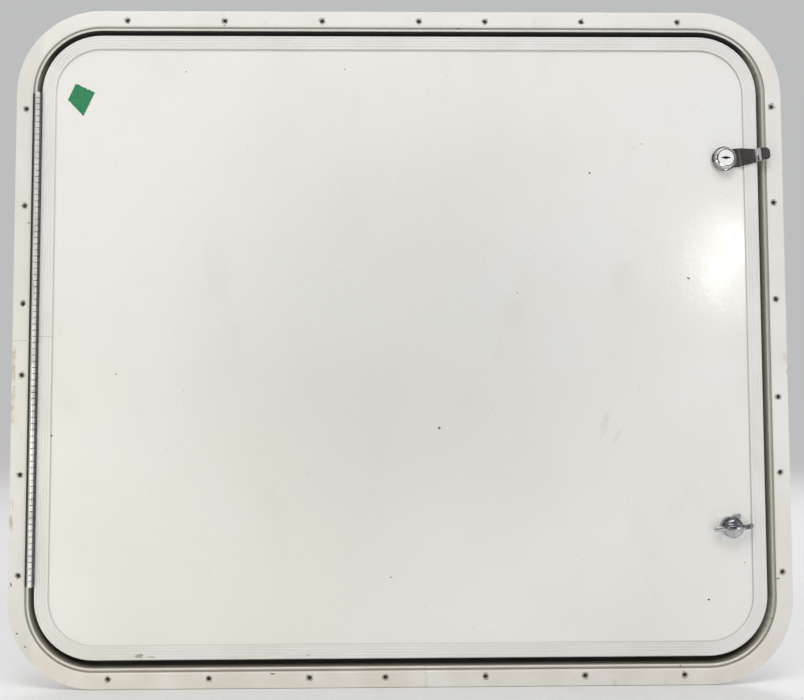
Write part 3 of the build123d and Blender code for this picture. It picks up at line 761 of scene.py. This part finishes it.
def knob_wings(foot_y):
    """The two wings as one rounded bar, bowed like an S and rounded at its tips."""
    vertices = []
    for station in range(WING_STATIONS):
        along = WING_HALF * (2 * station / (WING_STATIONS - 1) - 1)
        from_tip = min((WING_HALF - abs(along)) / (WING_W / 2), 1.0)
        half = max(WING_W / 2 * sqrt(1 - (1 - from_tip) ** 2), TIP_HALF)
        thick = WING_T * (TIP_T_SHARE + (1 - TIP_T_SHARE) * from_tip)
        for angle in angles(WING_POINTS):
            y = foot_y - WING_LIFT - thick / 2 * (1 + squarer(sin(angle)))
            vertices.append(knob_point(along, wing_line(along) + half * squarer(cos(angle)), y))
    return vertices, bar_faces(WING_STATIONS, WING_POINTS)


def knob_tail(foot_y):
    """The spindle behind the knob and the square that carries the cam."""
    step_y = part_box("thumb_cam")[0].y
    end_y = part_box("thumb_cam_screw")[0].y
    rows = ((foot_y, False), (step_y, False), (step_y, True), (end_y, True))
    vertices = []
    for y, is_square in rows:
        for angle in angles(SPINDLE_SIDES):
            to_square = SQUARE_HALF / max(abs(cos(angle)), abs(sin(angle)))
            reach = to_square if is_square else SPINDLE_R
            vertices.append((KNOB_CENTRE.x + reach * cos(angle), y, KNOB_CENTRE.z + reach * sin(angle)))
    end = tuple(range(len(vertices) - SPINDLE_SIDES, len(vertices)))
    return vertices, ring_faces(len(rows), SPINDLE_SIDES) + [end]


def thumb_turn():
    """The knob, its wings and its spindle as one chrome piece."""
    foot_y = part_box("thumb_latch_body")[0].y - KNOB_GAP
    vertices, faces = [], []
    for build in (knob_cap, knob_wings, knob_tail):
        add_to(vertices, faces, *build(foot_y))
    mesh = mesh_from("thumb_turn", vertices, faces)
    turn = piece("thumb_turn", mesh, "thumb_turn", REFLECTION_PAINTED_CHROME, SMALL_CREASE)
    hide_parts("thumb_knob")


# Screw hole wear: how far the paint is torn in hole radii, how unevenly, and the depths of the dark fill in
# each hole
HOLE_SIDES = 28
CHIP_REACH = 1.55
CHIP_RAGGED = 0.40
CHIP_LIP = 0.10 * MM
DARK_FILL_RIM = 1.6 * MM
DARK_FILL_MIDDLE = 2.2 * MM

# Ragged outlines: the size of the circle that each one follows through the noise, and how far apart two lie
RAGGED_CIRCLE = 2.1
RAGGED_APART = 3.7


def hole_places():
    """The middles of the flange's screw holes."""
    edge_x, edge_z = HALF_W - SCREW_INSET, HALF_H - SCREW_INSET
    bend_x, bend_z = HALF_W - CORNER_R, HALF_H - CORNER_R
    places = []
    for side, end, start, count in LEVEL_RUNS:
        places += [(end * (bend_x - start * MM - i * SCREW_PITCH), side * edge_z) for i in range(count)]
    for side, end, start, count in UPRIGHT_RUNS:
        places += [(side * edge_x, end * (bend_z - start * MM - i * SCREW_PITCH)) for i in range(count)]
    return places


def ragged(seed, angle, amount):
    """An uneven factor near 1 that closes on itself round a circle."""
    spot = Vector((RAGGED_CIRCLE * cos(angle), RAGGED_CIRCLE * sin(angle), seed * RAGGED_APART))
    return 1 + amount * noise.noise(spot)


def screw_hole_wear():
    """Torn paint round each hole, and a dark fill inside it."""
    chips, plugs = ([], []), ([], [])
    fan = [(side, (side + 1) % HOLE_SIDES, HOLE_SIDES) for side in range(HOLE_SIDES)]
    for number, (x, z) in enumerate(hole_places()):
        inner, outer, dark_fill = [], [], []
        for angle in angles(HOLE_SIDES):
            rim_x, rim_z = x + SCREW_R * cos(angle), z + SCREW_R * sin(angle)
            torn = SCREW_R * CHIP_REACH * ragged(number, angle, CHIP_RAGGED)
            inner.append((rim_x, FLANGE_FACE_Y - PROUD - CHIP_LIP, rim_z))
            outer.append((x + torn * cos(angle), FLANGE_FACE_Y - PROUD, z + torn * sin(angle)))
            dark_fill.append((rim_x, FLANGE_FACE_Y + DARK_FILL_RIM, rim_z))
        dark_fill.append((x, FLANGE_FACE_Y + DARK_FILL_MIDDLE, z))
        add_to(*chips, inner + outer, ring_faces(2, HOLE_SIDES))
        add_to(*plugs, dark_fill, fan)
    piece("hole_chips", mesh_from("hole_chips", *chips), "frame", CHIP)
    piece("hole_dark_fill", mesh_from("hole_dark_fill", *plugs), "frame", DIRT)


# Marks that show singly: x, z, width and height in millimetres, tilt in degrees
MARK_SIDES = 18
PANEL_SPECKS = [
    (38.0, -87.5, 2.6, 3.0, 20), (197.0, 178.0, 1.6, 2.4, 60), (313.4, -263.7, 2.4, 2.0, 0),
    (-358.8, -93.6, 2.2, 2.2, 0), (-294.0, -31.0, 1.2, 1.6, 30), (-59.0, 288.0, 1.4, 1.4, 0),
    (-361.9, -226.2, 1.2, 1.2, 0), (252.0, 209.0, 1.6, 1.0, 10), (351.5, -226.5, 1.2, 1.2, 0),
    (-225.0, 285.0, 1.6, 1.2, 0), (-12.0, -239.0, 2.8, 0.8, 25), (120.0, 52.0, 1.0, 1.3, 0),
    (299.0, 67.2, 3.4, 1.7, -25),
]
FLANGE_SPECKS = [
    (-389.7, -292.6, 2.4, 1.4, -20), (-381.2, -306.0, 2.0, 1.4, -30), (-385.0, 125.4, 3.2, 0.9, 0),
    (384.6, -242.5, 3.2, 1.2, 15), (282.5, -329.4, 1.0, 2.6, 40), (376.7, -282.6, 2.8, 0.8, -20),
    (-396.5, -244.0, 1.6, 4.0, 10), (-132.0, -334.5, 5.0, 1.2, -6), (60.0, 331.0, 4.0, 0.8, 4),
    (-185.0, 334.0, 2.0, 1.0, 0),
]
TRIM_SCUFFS = [
    (-267.0, -315.5, 9.0, 3.6, 6), (-254.0, -317.0, 7.0, 1.4, -4), (-96.0, -316.0, 5.0, 1.0, 8),
]
PANEL_SCUFFS = [
    (252.0, 112.0, 22.0, 0.9, -38), (264.0, 97.0, 14.0, 0.7, -38), (209.0, -84.0, 7.0, 26.0, -16),
    (222.0, -96.0, 5.0, 18.0, -30), (243.0, 204.0, 8.0, 0.9, 22), (-52.0, 36.0, 1.4, 12.0, 14),
    (17.0, 80.0, 12.0, 0.6, 60), (-140.0, -22.0, 10.0, 0.5, -24), (330.0, 70.0, 16.0, 0.6, 68),
    (156.0, 148.0, 1.0, 9.0, 8), (-250.0, -190.0, 14.0, 0.6, 12), (78.0, -160.0, 9.0, 0.6, -50),
    (338.0, 155.0, 9.0, 0.8, -40), (345.0, 159.0, 6.0, 0.8, 75),
]


def flat_marks(name, marks, y, body, material, raggedness):
    """Ragged flat marks on one plane, as one piece."""
    vertices, faces = [], []
    for number, (x, z, width, height, tilt) in enumerate(marks):
        turn = radians(tilt)
        outline = []
        for angle in angles(MARK_SIDES):
            reach = ragged(number + len(name), angle, raggedness)
            along = width / 2 * MM * reach * cos(angle)
            across = height / 2 * MM * reach * sin(angle)
            mark_x = x * MM + along * cos(turn) - across * sin(turn)
            mark_z = z * MM + along * sin(turn) + across * cos(turn)
            outline.append((mark_x, y, mark_z))
        add_to(vertices, faces, outline, [range(MARK_SIDES)])
    piece(name, mesh_from(name, vertices, faces), body, material)


# Torn piece of tape: corners in the plane of the door, in millimetres, then how it is torn and lifts off
TAPE_CORNERS = [(-339.4, 272.2), (-319.4, 262.8), (-331.0, 237.9), (-347.2, 254.8)]
TAPE_STEPS = 24
TAPE_TEAR = 0.9 * MM
TEAR_WAVES = 9
TEAR_SEED = 4.0
TAPE_LIFT = 0.12 * MM
TAPE_CURL = 0.22 * MM
CURL_WAVES = 5
CURL_SEED = 1.0
TAPE_CREASE = 60


def torn_tape():
    """The green tape: a thin sheet, torn at its ends and not quite flat on the panel."""
    upper_left, upper_right, lower_right, lower_left = (Vector(c) * MM for c in TAPE_CORNERS)
    vertices, faces = [], []
    for row in range(TAPE_STEPS + 1):
        down = row / TAPE_STEPS
        for column in range(TAPE_STEPS + 1):
            over = column / TAPE_STEPS
            spot = upper_left.lerp(upper_right, over).lerp(lower_left.lerp(lower_right, over), down)
            torn = TAPE_TEAR * noise.noise(Vector((over * TEAR_WAVES, down * TEAR_WAVES, TEAR_SEED)))
            spot.y += torn * 2 * abs(down - 0.5)
            spot.x += torn * abs(over - 0.5)
            curl = noise.noise(Vector((over * CURL_WAVES, down * CURL_WAVES, CURL_SEED)))
            lift = TAPE_LIFT + TAPE_CURL * max(curl, 0.0)
            vertices.append((spot.x, SKIN_FACE_Y - lift, spot.y))
    width = TAPE_STEPS + 1
    for row in range(TAPE_STEPS):
        for column in range(TAPE_STEPS):
            a = row * width + column
            faces.append((a, a + 1, a + width + 1, a + width))
    mesh = mesh_from("torn_tape", vertices, faces)
    piece("torn_tape", mesh, "door", green_tape(), crease=TAPE_CREASE)


def dress_solids():
    """Finishes for the solids that are shown as they are."""
    paint_node("frame", painted_frame())
    paint_node("door_trim", painted_trim())
    paint_node("outer_skin", glossy_gelcoat())
    paint_node("inner_skin", white_lining())
    paint_node("foam_core", foam_fill())
    paint_node("hinge_pin", pin_in_painted_shade())


def dress_locks():
    """The chrome and zinc pieces, each with its edges softened to a width."""
    softened("key_lock_body", "door", CHROME, 0.35 * MM)
    softened("key_lock_plug", "key_turn", satin_plug(), 0.2 * MM)
    softened("finger_pull", "door", CHROME, 0.25 * MM)
    softened("thumb_latch_body", "door", pale_plate(), 0.35 * MM)
    for latch in ("key", "thumb"):
        softened(f"{latch}_nut", "door", ZINC, 0.4 * MM)
        softened(f"{latch}_cam", f"{latch}_turn", ZINC, 0.3 * MM)
        softened(f"{latch}_cam_screw", f"{latch}_turn", ZINC, 0.4 * MM)


# Camera: the place that the photograph was taken from
CAMERA_AT = Vector((-14.4, -930.2, -53.7)) * MM
CAMERA_AIM = Vector((-0.1, -3.0, -7.0)) * MM
CAMERA_ROLL = -0.19
FOCAL_PX = 900.0
IMAGE_W_PX = 804.0
SENSOR_W = 36.0


def photo_camera():
    """The camera that gives the photograph's view."""
    data = bpy.data.cameras.new("photo_camera")
    data.sensor_width = SENSOR_W
    data.lens = FOCAL_PX / IMAGE_W_PX * SENSOR_W
    data.clip_start = 0.01
    camera = bpy.data.objects.new("photo_camera", data)
    bpy.context.scene.collection.objects.link(camera)
    aim = (CAMERA_AIM - CAMERA_AT).to_track_quat("-Z", "Y").to_matrix().to_4x4()
    roll = Matrix.Rotation(radians(CAMERA_ROLL), 4, "Z")
    camera.matrix_world = Matrix.Translation(CAMERA_AT) @ aim @ roll
    bpy.context.scene.camera = camera


# Soft boxes round the door, and the small lamp whose reflection shows on the right:
# name, place, aim, width and height, power in watts, colour
LIGHTS = [
    ("ul_box", (-0.95, -0.75, 0.75), (-0.25, 0, 0.2), (0.5, 0.5), 0.6, (1.0, 0.985, 0.95)),
    ("ll_box", (-0.95, -0.75, -0.13), (-0.3, 0, -0.2), (0.5, 0.3), 2.1, (1.0, 0.97, 0.74)),
    ("ur_box", (1.15, -0.8, 0.9), (0.25, 0, 0.2), (0.5, 0.5), 0.3, (0.98, 0.99, 1.0)),
    ("lr_box", (1.0, -0.85, -0.13), (0.3, 0, -0.2), (0.5, 0.3), 1.2, (0.98, 0.98, 0.97)),
    ("top_box", (0.0, -0.9, 1.5), (0, 0, 0.25), (1.6, 0.7), 15.0, (0.98, 0.99, 1.0)),
    ("back_box", (0.3, 2.0, 1.2), (0, 0, 0), (1.8, 1.2), 20.0, (1.0, 1.0, 1.0)),
    ("lamp", (1.045, -1.85, 0.365), (0.33, 0, 0.1), (0.14, 0.28), 1.3, (1.0, 1.0, 0.99)),
]


def soft_light(name, at, aim, size, power, colour):
    """An oval soft box."""
    data = bpy.data.lights.new(name, "AREA")
    data.shape = "ELLIPSE"
    data.size, data.size_y = size
    data.energy = power
    data.color = colour
    lamp = bpy.data.objects.new(name, data)
    bpy.context.scene.collection.objects.link(lamp)
    lamp.location = at
    lamp.rotation_euler = (Vector(aim) - Vector(at)).to_track_quat("-Z", "Y").to_euler()


# Surroundings: a dark room in front of the door, pale elsewhere, and the plain backdrop that the camera sees
ROOM_DARK = (0.10, 0.095, 0.09, 1.0)
ROOM_PALE = (0.955, 0.945, 0.96, 1.0)
ROOM_FROM, ROOM_TO = -0.95, -0.55
ROOM_STRENGTH = 0.75
BACKDROP = (0.68, 0.685, 0.69, 1.0)


def studio_world():
    """Pale surroundings, with a darker room in front of the door for the chrome to reflect."""
    world = bpy.data.worlds.new("studio")
    bpy.context.scene.world = world
    world.use_nodes = True
    tree = world.node_tree
    new, link = tree.nodes.new, tree.links.new
    background = tree.nodes["Background"]
    background.inputs["Strength"].default_value = ROOM_STRENGTH
    direction = new("ShaderNodeTexCoord")
    split = new("ShaderNodeSeparateXYZ")
    link(direction.outputs["Generated"], split.inputs[0])
    room = new("ShaderNodeMapRange")
    room.interpolation_type = "SMOOTHSTEP"
    room.inputs["From Min"].default_value = ROOM_FROM
    room.inputs["From Max"].default_value = ROOM_TO
    link(split.outputs["Y"], room.inputs["Value"])
    colour = new("ShaderNodeMix")
    colour.data_type = "RGBA"
    colour.inputs[6].default_value = ROOM_DARK
    colour.inputs[7].default_value = ROOM_PALE
    link(room.outputs["Result"], colour.inputs[0])
    seen = new("ShaderNodeMix")
    seen.data_type = "RGBA"
    path = new("ShaderNodeLightPath")
    seen.inputs[7].default_value = BACKDROP
    link(path.outputs["Is Camera Ray"], seen.inputs[0])
    link(colour.outputs[2], seen.inputs[6])
    link(seen.outputs[2], background.inputs["Color"])


FLOOR_REACH = 40.0
FLOOR_DROP = 0.2 * MM


def pale_floor():
    """A plain pale floor under the frame."""
    f = Finish("pale_floor", (0.72, 0.72, 0.72), 0.6)
    dark, light = (0.71, 0.71, 0.71), (0.74, 0.74, 0.74)
    f.set("Base Color", f.mix(f.noise(4.0), dark, light))
    z = FRAME_LOW.z - FLOOR_DROP
    square = ((-1, -1), (1, -1), (1, 1), (-1, 1))
    corners = [(x * FLOOR_REACH, y * FLOOR_REACH, z) for x, y in square]
    mesh = mesh_from("pale_floor", corners, [(0, 1, 2, 3)])
    mesh.materials.append(f.material)
    floor = bpy.data.objects.new("pale_floor", mesh)
    bpy.context.scene.collection.objects.link(floor)


dress_solids()
dress_locks()
bulb_seal()
rolled_leaf("hinge_frame_leaf", "frame", -1, 0)
rolled_leaf("hinge_door_leaf", "door", 1, 1)
thumb_turn()
screw_hole_wear()
flat_marks("panel_specks", PANEL_SPECKS, SKIN_FACE_Y - PROUD, "door", DIRT, 0.5)
flat_marks("panel_scuffs", PANEL_SCUFFS, SKIN_FACE_Y - PROUD, "door", SCUFF, 0.7)
flat_marks("trim_scuffs", TRIM_SCUFFS, TRIM_FACE_Y - PROUD, "door", CHIP, 0.7)
flat_marks("flange_specks", FLANGE_SPECKS, FLANGE_FACE_Y - PROUD, "frame", DIRT, 0.5)
torn_tape()
pale_floor()
studio_world()
for light in LIGHTS:
    soft_light(*light)
photo_camera()
bpy.context.scene.view_settings.view_transform = "Standard"
